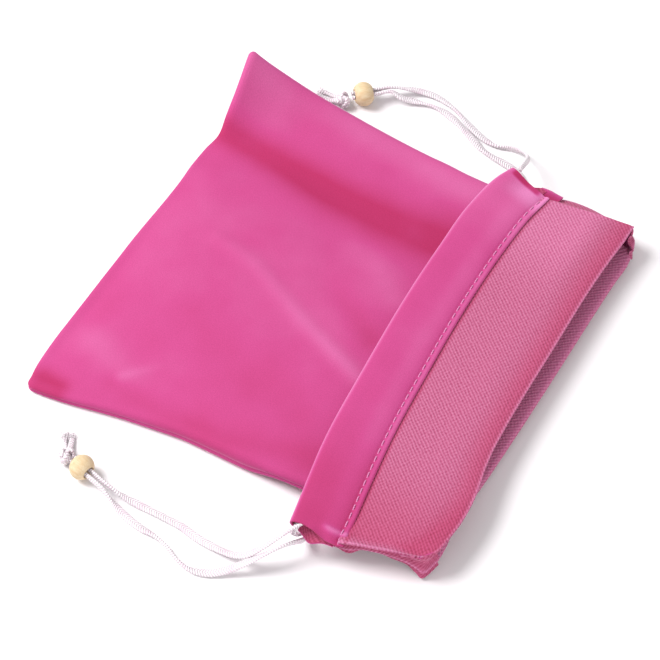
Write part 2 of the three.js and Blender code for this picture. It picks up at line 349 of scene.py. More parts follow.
def velvet_material():
    n = Nodes("velvet")
    cloth = n.cloth()
    # Painted shade and highlight stored on the mesh, plus a random tone from the brushed nap, choose the
    # colour between dark painted shade, the flat colour and a pale painted highlight, and set the sheen
    # weight.
    painted_shading = n.node("Attribute", attribute_name="painted_shading").outputs["Fac"]
    brushed = n.between(n.noise(cloth, 34, 3, 0.55), 0.3, 0.7, -0.16, 0.16)
    lean = n.math("ADD", painted_shading, brushed)
    fibres = n.noise(cloth, 2600, 2, 0.6)
    painted_shade_tone = n.mix(n.between(lean, -1.0, 0.0), VELVET_PAINTED_SHADE, VELVET_FLAT)
    tone = n.mix(n.between(lean, 0.0, 2.0), painted_shade_tone, VELVET_PAINTED_HIGHLIGHT)
    speck = n.mix(n.between(fibres, 0.3, 0.7), (0.88, 0.88, 0.88, 1), (1.10, 1.10, 1.10, 1))
    n.colour(n.node("Mix", {0: 1.0, 6: tone, 7: speck}, data_type="RGBA", blend_type="MULTIPLY").outputs[2])
    n.set(Roughness=0.85, Sheen_Roughness=0.3, Specular_IOR_Level=0.15)
    n.set(Sheen_Tint=(1.0, 0.62, 0.9, 1))
    n.join(n.between(lean, -1.0, 1.0, 0.35, 1.0), n.shader.inputs["Sheen Weight"])
    n.bump(n.math("ADD", n.math("MULTIPLY", fibres, 0.6), n.noise(cloth, 700, 3)), 0.00012, 0.4)
    return n.material


def knit_material():
    n = Nodes("knit")
    cloth = n.cloth()
    # Painted shade and highlight stored on the mesh choose between dark painted shade, the flat colours and
    # pale painted highlight; the loops and fuzz vary the colour within each.
    painted_shading = n.node("Attribute", attribute_name="painted_shading").outputs["Fac"]
    wobble = n.math("MULTIPLY", n.noise(cloth, 380, 2), 3.2)
    rib = stripes(n, cloth, KNIT_RIB_ANGLE, KNIT_PITCH, wobble)
    cross = stripes(n, cloth, KNIT_CROSS_ANGLE, KNIT_PITCH, wobble)
    loops = n.math("ADD", n.math("MULTIPLY", rib, 0.62), n.math("MULTIPLY", cross, 0.25))
    fuzz = n.noise(cloth, 1250, 2, 0.7)
    height = n.math("ADD", loops, n.math("MULTIPLY", n.math("SUBTRACT", fuzz, 0.5), 3.0))
    share = n.between(height, -1.1, 1.1)
    painted_shade_tone = n.mix(share, KNIT_PAINTED_SHADE[0], KNIT_PAINTED_SHADE[1])
    flat = n.mix(share, KNIT_FLAT[0], KNIT_FLAT[1])
    painted_highlight = n.mix(share, KNIT_PAINTED_HIGHLIGHT[0], KNIT_PAINTED_HIGHLIGHT[1])
    tone = n.mix(n.between(painted_shading, -1.0, 0.0), painted_shade_tone, flat)
    n.colour(n.mix(n.between(painted_shading, 0.0, 1.0), tone, painted_highlight))
    n.set(Roughness=0.8, Sheen_Weight=0.3, Sheen_Roughness=0.4, Specular_IOR_Level=0.2)
    n.set(Sheen_Tint=(1.0, 0.7, 0.88, 1))
    n.bump(height, 0.00012, 0.6)
    return n.material


def thread_material():
    n = Nodes("thread")
    cloth = n.cloth()
    twist = stripes(n, cloth, THREAD_TWIST, THREAD_PITCH)
    n.colour(n.mix(n.between(twist, -1, 1), (0.48, 0.10, 0.27, 1), (0.62, 0.22, 0.42, 1)))
    n.set(Roughness=0.5, Sheen_Weight=0.3, Specular_IOR_Level=0.4)
    n.bump(twist, 0.00006, 0.6)
    return n.material


def satin_material():
    n = Nodes("satin_braid")
    cloth = n.cloth()
    parts = n.node("SeparateXYZ", {"Vector": cloth}).outputs
    lean = n.math("ABSOLUTE", parts["Y"])
    slanted = n.math("ADD", parts["X"], n.math("MULTIPLY", lean, 0.55))
    phase = n.math("MULTIPLY", slanted, 2 * math.pi / BRAID_PITCH)
    ribs = n.math("SINE", n.math("ADD", phase, n.noise(cloth, 300, 1)))
    shade = n.between(n.noise(cloth, 170, 2), 0.48, 0.62)
    pale = n.mix(n.between(ribs, -0.9, 0.3), (0.62, 0.50, 0.57, 1), (0.84, 0.80, 0.82, 1))
    n.colour(n.mix(n.math("MULTIPLY", shade, 0.5), pale, (0.70, 0.52, 0.62, 1)))
    n.set(Roughness=0.42, Sheen_Weight=0.3, Specular_IOR_Level=0.5)
    n.bump(ribs, 0.00012, 1.0)
    return n.material


def wood_material():
    n = Nodes("bead_wood")
    cloth = n.cloth()
    stretched = n.node("Mapping", {"Vector": cloth, "Scale": (1.0, 9.0, 9.0)}).outputs["Vector"]
    grain = n.noise(stretched, 90, 4, 0.6)
    rings = n.noise(stretched, 420, 2, 0.5)
    mixed = n.math("ADD", n.math("MULTIPLY", grain, 0.7), n.math("MULTIPLY", rings, 0.3))
    n.colour(n.mix(n.between(mixed, 0.35, 0.68), (0.66, 0.54, 0.36, 1), (0.54, 0.37, 0.20, 1)))
    n.set(Roughness=0.55, Specular_IOR_Level=0.35)
    n.bump(mixed, 0.00005, 0.5)
    return n.material


# Cloth colours: dark, red painted shade, the flat colour, and pale, bluish painted highlight.
VELVET_PAINTED_SHADE = (0.355, 0.022, 0.095, 1)
VELVET_FLAT = (0.44, 0.052, 0.19, 1)
VELVET_PAINTED_HIGHLIGHT = (0.60, 0.19, 0.40, 1)
KNIT_PAINTED_SHADE = ((0.29, 0.028, 0.075, 1), (0.46, 0.072, 0.17, 1))
KNIT_FLAT = ((0.32, 0.045, 0.12, 1), (0.51, 0.155, 0.275, 1))
KNIT_PAINTED_HIGHLIGHT = ((0.50, 0.12, 0.26, 1), (0.66, 0.24, 0.42, 1))
KNIT_PITCH = 0.0011
KNIT_RIB_ANGLE = math.radians(51)
KNIT_CROSS_ANGLE = math.radians(-33)
THREAD_TWIST = math.radians(40)
THREAD_PITCH = 0.0006
BRAID_PITCH = 0.0009

VELVET = velvet_material()
KNIT = knit_material()
THREAD = thread_material()
SATIN = satin_material()
WOOD = wood_material()

# ---------------------------------------------------------------- cords
# Each cord leaves both ends of its channel side and its two strands meet in the bead and the knot.
# Routes in metres, from the channel's end to the straight stretch at the bead.
CORD_WIDTH = 0.003
CORD_THICKNESS = 0.0012
BEAD_RADIUS = 0.0044
BEAD_HALF_LENGTH = 0.0034
BORE_RADIUS = 0.00215
KNOT_RADIUS = 0.0029
KNOT_FROM_BEAD = 0.0076
STRAND_OFFSET = 0.001
BEAD_STOPS = (0.010, 0.005, 0.0, -0.0043)
FRONT_CORD_HEIGHT = 0.0137
BACK_CORD_HEIGHT = 0.0018
EXIT_Y = 0.0785

# The routes repeat part.mjs. They follow places picked in the photo, which a separate program put through
# the fitted camera, with changes.
CORDS = {
    "near": {
        "channel_x": 0.0335,
        "side": -1,
        "bead": (-0.0435, -0.0959),
        "angle": math.radians(-14),
        "tassel_end": (-0.0562, -0.0846, 0.0015),
        "front": [
            (0.0334, -0.0814, 0.0134), (0.0314, -0.0844, 0.0125), (0.0286, -0.0889, 0.0109),
            (0.0248, -0.0938, 0.0079), (0.0210, -0.0972, 0.0050), (0.0164, -0.0984, 0.0029),
            (0.0095, -0.0984, 0.0014), (0.0022, -0.0980, 0.0009), (-0.0045, -0.0969, 0.0009),
            (-0.0113, -0.0968, 0.0009), (-0.0184, -0.0969, 0.0009), (-0.0245, -0.0971, 0.0014),
            (-0.0293, -0.0974, 0.0030),
        ],
        "back": [
            (0.0338, -0.0820, 0.0034), (0.0336, -0.0848, 0.0064), (0.0310, -0.0894, 0.0083),
            (0.0266, -0.0953, 0.0073), (0.0216, -0.1004, 0.0044), (0.0170, -0.1044, 0.0020),
            (0.0121, -0.1076, 0.0009), (0.0064, -0.1092, 0.0009), (0.0009, -0.1084, 0.0009),
            (-0.0047, -0.1059, 0.0009), (-0.0100, -0.1044, 0.0009), (-0.0156, -0.1041, 0.0009),
            (-0.0218, -0.1030, 0.0009), (-0.0270, -0.1014, 0.0015), (-0.0306, -0.1003, 0.0031),
        ],
    },
    "far": {
        "channel_x": 0.0265,
        "side": 1,
        "bead": (-0.0405, 0.0859),
        "angle": math.radians(42),
        "tassel_end": (-0.0570, 0.0806, 0.0015),
        "front": [
            (0.0264, 0.0822, 0.0126), (0.0256, 0.0860, 0.0096), (0.0236, 0.0899, 0.0062),
            (0.0199, 0.0926, 0.0032), (0.0156, 0.0932, 0.0014), (0.0107, 0.0919, 0.0009),
            (0.0057, 0.0922, 0.0009), (-0.0003, 0.0941, 0.0009), (-0.0059, 0.0968, 0.0009),
            (-0.0111, 0.0989, 0.0009), (-0.0179, 0.1003, 0.0009), (-0.0238, 0.0994, 0.0014),
            (-0.0286, 0.0968, 0.0030),
        ],
        "back": [
            (0.0260, 0.0816, 0.0017), (0.0242, 0.0839, 0.0012), (0.0205, 0.0858, 0.0009),
            (0.0155, 0.0866, 0.0009), (0.0114, 0.0870, 0.0009), (0.0066, 0.0880, 0.0009),
            (0.0016, 0.0902, 0.0009), (-0.0031, 0.0924, 0.0009), (-0.0083, 0.0945, 0.0009),
            (-0.0146, 0.0960, 0.0009), (-0.0199, 0.0956, 0.0009), (-0.0248, 0.0940, 0.0015),
            (-0.0286, 0.0922, 0.0030),
        ],
    },
}


def cord_frame(cord):
    """Centre of the bead, the way from knot to pouch, and sideways."""
    angle = cord["angle"]
    centre = np.array([*cord["bead"], BEAD_RADIUS])
    direction = np.array([math.cos(angle), math.sin(angle), 0.0])
    sideways = np.array([-math.sin(angle), math.cos(angle), 0.0])
    return centre, direction, sideways


def strand_points(cord, layer):
    centre, direction, sideways = cord_frame(cord)
    height = FRONT_CORD_HEIGHT if layer == "front" else BACK_CORD_HEIGHT
    sign = 1 if layer == "front" else -1
    points = [np.array([cord["channel_x"], cord["side"] * EXIT_Y, height])]
    points += [np.array(p) for p in cord[layer]]
    points += [centre + direction * s + sideways * (sign * STRAND_OFFSET) for s in BEAD_STOPS]
    return np.array(points)


def centripetal(points, per_span=14):
    """A centripetal Catmull-Rom curve through the points."""
    points = np.asarray(points, float)
    padded = np.vstack([2 * points[0] - points[1], points, 2 * points[-1] - points[-2]])
    line = []
    for i in range(len(points) - 1):
        p = padded[i : i + 4]
        knots = np.concatenate([[0], np.cumsum(np.linalg.norm(np.diff(p, axis=0), axis=1) ** 0.5)])
        for t in np.linspace(knots[1], knots[2], per_span, endpoint=False):
            level = [p[k].copy() for k in range(4)]
            for depth in (1, 2, 3):
                span = level
                level = []
                for k in range(4 - depth):
                    lo, hi = (knots[1], knots[2]) if depth == 3 else (knots[k], knots[k + depth])
                    level.append(span[k] * (hi - t) / (hi - lo) + span[k + 1] * (t - lo) / (hi - lo))
            line.append(level[0])
    line.append(points[-1])
    return np.array(line)


def even(line, step):
    """The line again, with points an even step apart."""
    along = np.concatenate([[0], np.cumsum(np.linalg.norm(np.diff(line, axis=0), axis=1))])
    count = max(int(round(along[-1] / step)), 2)
    where = np.linspace(0, along[-1], count + 1)
    return np.stack([np.interp(where, along, line[:, k]) for k in range(3)], axis=1)


def braid_frames(line, roll):
    """Width and thickness directions of a flat braid that lies flat, rolled by an angle along it."""
    tangent = np.gradient(line, axis=0)
    tangent /= np.linalg.norm(tangent, axis=1, keepdims=True)
    side = np.cross(np.array([0.0, 0.0, 1.0]), tangent)
    side /= np.maximum(np.linalg.norm(side, axis=1, keepdims=True), 1e-6)
    up = np.cross(tangent, side)
    c, s = np.cos(roll)[:, None], np.sin(roll)[:, None]
    return side * c + up * s, up * c - side * s


def add_strand(name, cord, layer, rolls):
    """One free strand: a flat braid. rolls gives its roll, in degrees, at even places along it."""
    line = even(centripetal(strand_points(cord, layer)), 0.0005)
    share = np.linspace(0, 1, len(line))
    roll = np.radians(spline(np.linspace(0, 1, len(rolls)), rolls, share))
    side, up = braid_frames(line, roll)
    narrow = 1 - 0.42 * ramp(share, 0.9, 0.97) - 0.2 * ramp(1 - share, 0.96, 1.0)
    half_width = (CORD_WIDTH / 2 - 0.0001) * narrow
    half_height = np.full(len(line), CORD_THICKNESS / 2)
    line_mm = line / MM
    points, faces, cloth = tube_along(line_mm, side, up, half_width / MM, half_height / MM, 14)
    points[:, 2] = np.maximum(points[:, 2], 0.05)
    piece = make_mesh(f"{name}_{layer}_strand_braid", points, faces, [SATIN], cloth=cloth)
    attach(piece, f"{name}_strands")
    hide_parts(f"{name}_cord_{layer}_strand")
    length = float(np.linalg.norm(np.diff(line, axis=0), axis=1).sum())
    return piece, line, length


def bead_points(segments=64):
    """A turned wooden bead: a flattened ball with a bore whose edges are slightly rounded."""
    radius, half, bore = BEAD_RADIUS / MM, BEAD_HALF_LENGTH / MM, BORE_RADIUS / MM
    edge = 0.35
    shoulder = math.asin((bore + edge) / radius)
    profile = []
    for angle in np.linspace(-math.pi / 2 + shoulder, math.pi / 2 - shoulder, 30):
        scale = (half - 0.12) / math.cos(shoulder)
        profile.append((radius * math.cos(angle), scale * math.sin(angle)))
    for sign in (1, -1):
        for turn in np.linspace(0.15, 1.4, 5) if sign > 0 else np.linspace(1.4, 0.15, 5):
            inward = half - 0.12 - edge * (1 - math.cos(turn))
            profile.append((bore + edge - edge * math.sin(turn), sign * inward))
        if sign > 0:
            for y in np.linspace(half * 0.7, -half * 0.7, 6):
                profile.append((bore, y))
    profile = np.array(profile)
    points, cloth = [], []
    for k in range(segments):
        angle = 2 * math.pi * k / segments
        wobble = 1 + 0.006 * math.sin(3 * angle + 0.7) + 0.004 * math.sin(7 * angle)
        for r, y in profile:
            points.append((r * wobble * math.cos(angle), y, r * wobble * math.sin(angle)))
            cloth.append((y, r * math.cos(angle), r * math.sin(angle)))
    count = len(profile)
    faces = []
    for k in range(segments):
        for i in range(count):
            a = k * count + i
            b = k * count + (i + 1) % count
            c = ((k + 1) % segments) * count
            faces.append((a, b, c + (i + 1) % count, c + i))
    return np.array(points), faces, np.array(cloth)


def placed(points, centre, direction):
    """Turns points from a local +Y axis to a direction, about a centre, all in millimetres."""
    direction = direction / np.linalg.norm(direction)
    side = np.cross(direction, [0, 0, 1.0])
    side /= np.linalg.norm(side)
    up = np.cross(side, direction)
    return centre + points[:, :1] * side + points[:, 1:2] * direction + points[:, 2:3] * up


def add_bead(name, cord):
    centre, direction, _ = cord_frame(cord)
    points, faces, cloth = bead_points()
    points = placed(points, centre / MM, direction)
    piece = make_mesh(f"{name}_wooden_bead", points, faces, [WOOD], cloth=cloth)
    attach(piece, f"{name}_bead")
    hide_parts(f"{name}_bead")
    return piece


def knot_line(turn, grow):
    """A closed overhand knot, about its own middle, with its axis along +Y."""
    t = np.linspace(0, 2 * math.pi, 150)
    x = np.sin(t + turn) + 2 * np.sin(2 * (t + turn))
    y = np.cos(t + turn) - 2 * np.cos(2 * (t + turn))
    z = -np.sin(3 * (t + turn))
    return np.stack([x * 0.86 * grow, y * 0.72 * grow, z * 1.05], axis=1)


def add_knot(name, cord):
    """An overhand knot tied in both strands at once."""
    centre, direction, _ = cord_frame(cord)
    centre = (centre - direction * KNOT_FROM_BEAD) / MM
    centre[2] = KNOT_RADIUS / MM
    parts = []
    for turn, grow, lift in ((0.0, 1.0, 0.35), (0.35, 0.92, -0.45)):
        line = knot_line(turn, grow)
        line[:, 2] += lift
        tangent = np.gradient(line, axis=0)
        tangent /= np.linalg.norm(tangent, axis=1, keepdims=True)
        out = line / np.linalg.norm(line, axis=1, keepdims=True)
        side = np.cross(tangent, out)
        side /= np.linalg.norm(side, axis=1, keepdims=True)
        up = np.cross(side, tangent)
        points, faces, cloth = tube_along(line, side, up, 1.3, 0.62, 10)
        parts.append((placed(points, centre, direction), faces, cloth))
    points, faces, cloth = merged(parts)
    points[:, 2] = np.maximum(points[:, 2], 0.05)
    piece = make_mesh(f"{name}_overhand_knot", points, faces, [SATIN], cloth=cloth)
    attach(piece, f"{name}_strands")
    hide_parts(f"{name}_knot")
    return piece


def add_tassel(name, cord, seed):
    """The cord's two ends beyond the knot, which fray into loose filaments."""
    rng = np.random.default_rng(seed)
    centre, direction, _ = cord_frame(cord)
    start = (centre - direction * KNOT_FROM_BEAD) / MM
    start[2] = KNOT_RADIUS / MM
    end = np.array(cord["tassel_end"]) / MM
    axis = end - start
    length = np.linalg.norm(axis)
    axis /= length
    side = np.cross(axis, [0, 0, 1.0])
    side /= np.linalg.norm(side)
    parts = []
    for sign in (-1, 1):
        share = np.linspace(0, 1, 20)
        line = start + np.outer(share * length * 0.72, axis) + np.outer(sign * (0.5 + 0.9 * share), side)
        line[:, 2] = start[2] + (1.0 - start[2]) * ramp(share, 0, 0.8) + sign * 0.2
        cord_side, up = braid_frames(line, np.full(len(line), 0.25 * sign))
        parts.append(tube_along(line, cord_side, up, 1.1 - 0.25 * share, 0.55 - 0.15 * share, 10))
        for _ in range(26):
            spread = rng.uniform(-1.0, 1.0)
            reach = length * rng.uniform(0.86, 1.02)
            lift = rng.uniform(0.25, 1.6)
            share = np.linspace(0, 1, 9)
            offset = sign * 1.3 + spread * (0.5 + 1.0 * share) + rng.uniform(-0.4, 0.4) * share**2
            along = length * 0.55 + share * (reach - length * 0.55)
            line = start + np.outer(along, axis) + side * offset[:, None]
            line[:, 2] = 1.0 + (lift - 1.0) * share + 0.25 * np.sin(share * 4 + spread * 3)
            line[:, 2] = np.maximum(line[:, 2], 0.2)
            hair_side, up = braid_frames(line, np.zeros(len(line)))
            parts.append(tube_along(line, hair_side, up, 0.14 - 0.07 * share, 0.14 - 0.07 * share, 5))
    points, faces, cloth = merged(parts)
    points[:, 2] = np.maximum(points[:, 2], 0.03)
    piece = make_mesh(f"{name}_frayed_ends", points, faces, [SATIN], cloth=cloth)
    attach(piece, f"{name}_strands")
    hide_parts(f"{name}_cord_ends")
    return piece


ROLLS = {
    ("near", "front"): [70, 60, 35, 10, 15, -10, 5, 20, 5, 75, 90, 90],
    ("near", "back"): [60, 80, 60, 20, -15, 10, 75, 80, 20, 5, 80, 90, 90],
    ("far", "front"): [70, 80, 60, 80, 30, 20, 60, 25, 10, 50, 80, 90],
    ("far", "back"): [20, 10, 5, 40, 10, 30, 10, 60, 10, 40, 80, 90],
}


def add_cords():
    for seed, (name, cord) in enumerate(CORDS.items()):
        bead = add_bead(name, cord)
        knot = add_knot(name, cord)
        tassel = add_tassel(name, cord, seed + 5)
        for layer in ("front", "back"):
            piece, line, length = add_strand(name, cord, layer, ROLLS[name, layer])


add_cords()

# ---------------------------------------------------------------- the pouch's panels
CLOTH = 0.8
CLIMB = (2.0, 18.0)
BACK_TOP = 4.8  # inside face of the back panel at the mouth
# The pouch's outlines, in millimetres. They aren't worked out from driving dimensions: they follow the
# photo's outline, which a separate program found and put through the fitted camera, with changes.
NEAR_EDGE = [
    (-79, -77.8), (-72, -77.3), (-65, -76.3), (-58, -74.9), (-51, -73.3), (-44, -71.9), (-37, -70.8),
    (-29, -69.6), (-22, -68.7), (-14, -68.4), (-6, -68.3), (1, -68.2), (8, -67.8), (15, -67.5),
    (25, -67.0), (75, -67.0),
]
FAR_EDGE = [
    (-80, 70.3), (-76, 70.6), (-63, 72.6), (-50, 74.0), (-35, 74.9), (-18, 74.6), (-6, 73.9), (2, 73.5),
    (10, 72.4), (16, 71.8), (25, 71.5), (75, 71.5),
]
CLOSED_EDGE = [
    (-77, -78.0), (-72, -78.9), (-66, -79.4), (-58, -79.7), (-48, -79.7), (-38, -79.6), (-28, -79.5),
    (-18, -79.3), (-8, -79.1), (2, -78.6), (12, -78.0), (22, -77.7), (32, -78.0), (40, -77.6),
    (46, -76.2), (52, -76.8), (60, -77.2), (70, -77.8),
]
HEIGHT_X = [-76, -70, -55, -40, -20, 0, 18, 30, 52, 74]
HEIGHT_ACROSS = [-1, -0.82, -0.53, -0.2, 0.13, 0.4, 0.64, 0.83, 1]
TOP_HEIGHTS = [
    [4.4, 3.9, 3.0, 2.8, 3.2, 3.6, 4.0, 15, 25.5],
    [4.7, 5.2, 4.9, 4.6, 4.6, 4.4, 4.2, 11.5, 21],
    [5.4, 6.6, 7.6, 7.4, 6.4, 4.9, 4.0, 6.8, 12.6],
    [6.0, 7.4, 9.0, 8.8, 7.3, 5.0, 4.0, 5.2, 8.0],
    [7.2, 8.6, 9.9, 9.4, 7.4, 5.0, 4.2, 4.6, 5.4],
    [8.6, 9.6, 10.3, 9.8, 8.0, 5.8, 5.2, 5.6, 6.3],
    [9.4, 10.2, 10.6, 10.3, 9.2, 7.8, 7.4, 7.8, 8.6],
    [10.2, 10.9, 11.1, 11.1, 10.9, 10.4, 10.2, 10.2, 10.2],
    [10.6, 11.2, 11.5, 11.5, 11.5, 11.4, 11.4, 11.2, 10.8],
    [10.8, 11.3, 11.5, 11.5, 11.5, 11.5, 11.4, 11.3, 11.0],
]
EAR = {"x": -76, "y": 46, "along": (56, 32), "reach": 26, "height": 21.0, "power": 1.6}


def ear_height(x, y):
    length = math.hypot(*EAR["along"])
    across = ((y - EAR["y"]) * EAR["along"][0] - (x - EAR["x"]) * EAR["along"][1]) / length
    return EAR["height"] * (np.maximum(across, 0) / EAR["reach"]) ** EAR["power"]


def edge(points, where):
    knots, values = zip(*points)
    return spline(knots, values, where)


# How the cloth lies: soft creases and swells along lines, and painted shade and highlight along the same
# lines. Each is (points, width at its start and end, height in mm, painted highlight where positive or
# painted shade where negative, at its start and end).
LIE = [
    ([(-78, 46), (-60, 46), (-40, 44), (-20, 42), (0, 42), (24, 42)], (5.0, 10.5), -0.7, (-1.15, -1.25)),
    ([(-62, -8), (-30, -12), (0, 5)], (15, 15), 0.0, (0.12, 0.2)),
    ([(-70, 66), (-40, 70), (-15, 69), (5, 66), (24, 66)], (4, 7), 0.3, (0.1, 0.75)),
    ([(-52, 5), (-34, 1), (-20, -6), (-5, -13), (8, -18), (20, -23)], (3, 3), 0.45, (0.1, 0.6)),
    ([(-8, 25), (4, 21), (14, 12)], (6, 6), 0.25, (0.3, 0.3)),
    ([(-12, 8), (2, 1), (16, -7)], (5, 5), -0.25, (-0.1, -0.5)),
    ([(-66, -52), (-58, -55), (-48, -60)], (6, 6), 0.3, (0.4, 0.3)),
    ([(-50, -60), (-41, -51)], (2, 2), 0.2, (0.4, 0.1)),
    ([(-74, -73), (-67, -73)], (4.5, 3.5), -0.9, (-1.1, -0.9)),
    ([(-52, -63), (-30, -66), (-8, -65), (8, -60), (22, -58)], (3.5, 7), -0.3, (-0.25, -0.45)),
    ([(-38, -28), (-15, -40), (8, -45)], (9, 9), -0.2, (-0.15, -0.15)),
    ([(-74, 70), (-60, 62)], (9, 9), 0.0, (0.45, 0.3)),
    ([(-74, 24), (-55, 14)], (9, 9), 0.15, (0.15, 0.1)),
]


def lie_of(x, y):
    """Height in millimetres that the creases and swells add at x, y, and the painted shade (down to -1) and
    painted highlight (up to 1) that go with them.
    """
    height = np.zeros(np.shape(x))
    pale = np.zeros(np.shape(x))
    for points, widths, lift, shades in LIE:
        points = np.asarray(points, float)
        lengths = np.linalg.norm(np.diff(points, axis=0), axis=1)
        along = np.concatenate([[0], np.cumsum(lengths)]) / lengths.sum()
        best = np.full(np.shape(x), 1e9)
        place = np.zeros(np.shape(x))
        for k in range(len(lengths)):
            step = points[k + 1] - points[k]
            t = ((x - points[k, 0]) * step[0] + (y - points[k, 1]) * step[1]) / (lengths[k] ** 2)
            t = np.clip(t, 0, 1)
            far = np.hypot(x - points[k, 0] - t * step[0], y - points[k, 1] - t * step[1])
            nearer = far < best
            best = np.where(nearer, far, best)
            place = np.where(nearer, along[k] + t * (along[k + 1] - along[k]), place)
        width = widths[0] + (widths[1] - widths[0]) * place
        share = np.exp(-((best / width) ** 2))
        height += lift * share
        pale += (shades[0] + (shades[1] - shades[0]) * place) * share
    return height, np.clip(pale, -1, 1)


def top_height(x, across):
    """Height of the front panel's outer face at x and at -1..1 from the near to the far edge."""
    rows = np.stack([spline(HEIGHT_ACROSS, row, across) for row in TOP_HEIGHTS])
    return spline(HEIGHT_X, rows, x)


def bottom_height(x, y, across):
    """Height of the back panel's outer face."""
    climb = 3.9 * ramp(x, *CLIMB)
    ear = ear_height(x, y) * (1 - ramp(x, -30, 5))
    return np.minimum(climb + ear, top_height(x, across) - 2.2)


PANEL_SHORT = 5.6  # how far before the lip the panel hands over to the mouth's fold
TOE_X = -62.5  # where the front panel is cut across, under the mouth's hinge
NEAR_SIDE_Y, FAR_SIDE_Y = -58, 60  # where its sides, which stretch as the mouth opens, begin
LAP = 3  # rows of the toe that lie hidden under the panel's edge, which shifts as the mouth opens
LAP_DOWN = 0.4
ROLL = 2.4  # how far the cloth rolls out at its seams
ROLL_TURN = math.radians(125)
RINGS = 7
LONG_STEPS = 104
CROSS_STEPS = 108


def panel_surface(upper):
    """Grid of the outer face of one panel, which rolls round to the seam on three sides, the
    cloth's flat coordinates, and the painted shade and highlight that LIE adds."""
    i = np.arange(-RINGS, LONG_STEPS + 1)[:, None]
    j = np.arange(-RINGS, CROSS_STEPS + RINGS + 1)[None, :]
    i, j = np.broadcast_arrays(i, j)
    a = np.clip(i, 0, LONG_STEPS) / LONG_STEPS
    b = np.clip(j, 0, CROSS_STEPS) / CROSS_STEPS
    ring_x = np.maximum(-i, 0)
    ring_y = np.maximum(-j, 0) + np.maximum(j - CROSS_STEPS, 0)
    ring = np.maximum(ring_x, ring_y)
    side = np.where(j < CROSS_STEPS / 2, -1.0, 1.0)
    big = np.maximum(ring, 1)
    share = np.where(ring_x >= ring_y, 0.5 * ring_y / big, 1 - 0.5 * ring_x / big) * (math.pi / 2)
    out_x = -np.cos(share)
    out_y = side * np.sin(share)
    phi = ROLL_TURN * ring / RINGS
    across = (2 * b - 1).ravel()
    corners = edge(NEAR_EDGE, np.array([-77.0])), edge(FAR_EDGE, np.array([-77.0]))
    guess = (corners[0] + (corners[1] - corners[0]) * b).ravel()
    closed = edge(CLOSED_EDGE, guess) + ROLL
    lip_points = LIP_EDGE if upper else BACK_LIP
    mouth = edge(NEAR_EDGE, np.array([70.0])), edge(FAR_EDGE, np.array([70.0]))
    mouth_y = (mouth[0] + (mouth[1] - mouth[0]) * b).ravel()
    end = np.interp(mouth_y, [y for _, y in lip_points], [x for x, _ in lip_points]) - PANEL_SHORT
    x = closed + (end - closed) * a.ravel()
    near = edge(NEAR_EDGE, x) + ROLL
    far = edge(FAR_EDGE, x) - ROLL
    y = near + (far - near) * b.ravel()
    top = top_height(x, across)
    bottom = bottom_height(x, y, across)
    rim = ramp(np.minimum(1 - np.abs(across), a.ravel() + 0.02), 0.0, 0.12)
    lift, pale = lie_of(x, y)
    top = top + rim * (lift + 0.22 * wrinkles(x, y, 19, 3.1) + 0.07 * wrinkles(x, y, 6.5, 8.4))
    seam = bottom + 0.42 * (top - bottom)
    start = top if upper else bottom
    x, y, start, seam = (v.reshape(i.shape) for v in (x, y, start, seam))
    fall = (1 - np.cos(phi)) / (1 - math.cos(ROLL_TURN))
    reach = ROLL * np.sin(phi)
    z = start + (seam - start) * fall
    surface = np.stack([x + out_x * reach, y + out_y * reach, z], axis=2)
    spread = ROLL * phi
    cloth = np.stack([x + out_x * spread, y + out_y * spread], axis=2)
    return surface, cloth, pale.reshape(i.shape)


def add_panels():
    # The front panel's pieces carry the painted shade and highlight of LIE.
    surface, cloth, painted_shading = panel_surface(True)
    x_line = surface[:, RINGS + CROSS_STEPS // 2, 0]
    toe_row = int(np.argmax(x_line > TOE_X))
    rows = len(x_line)
    y_line = surface[RINGS + LONG_STEPS // 2, :, 1]
    near_column = int(np.argmax(y_line > NEAR_SIDE_Y))
    far_column = int(np.argmax(y_line > FAR_SIDE_Y))
    columns = len(y_line)

    lowered = surface - grid_normals(surface, False) * LAP_DOWN

    def part(name, cloth_grid, row_span, column_span):
        return shell(name, cloth_grid, CLOTH, VELVET, KNIT, False, cloth, row_span, column_span, painted_shading)

    # The lap under the panel's edge isn't in the real cloth, and the toe's declared area leaves it out.
    toe = part("front_velvet_toe", surface, (0, toe_row + 1), None)
    lap = part("front_velvet_lap", lowered, (toe_row - 1, toe_row + LAP + 1), (RINGS, columns - RINGS))
    with bpy.context.temp_override(active_object=toe, selected_editable_objects=[toe, lap]):
        bpy.ops.object.join()
    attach(toe, "pouch_back")
    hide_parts("front_panel_toe")
    middle = part("front_velvet", surface, (toe_row, rows), (near_column, far_column + 1))
    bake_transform(middle)
    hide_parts("front_panel")
    near = part("near_side_velvet", surface, (toe_row, rows), (0, near_column + 1))
    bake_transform(near)
    far = part("far_side_velvet", surface, (toe_row, rows), (far_column, columns))
    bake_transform(far)
    # The back panel carries 0.3 of the painted shade and highlight.
    surface, cloth, painted_shading = panel_surface(False)
    back = shell("back_velvet", surface, CLOTH, VELVET, KNIT, True, cloth, painted_shading=0.3 * painted_shading)
    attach(back, "pouch_back")
    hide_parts("back_panel", "near_side_seam", "far_side_seam", "bottom_seam")


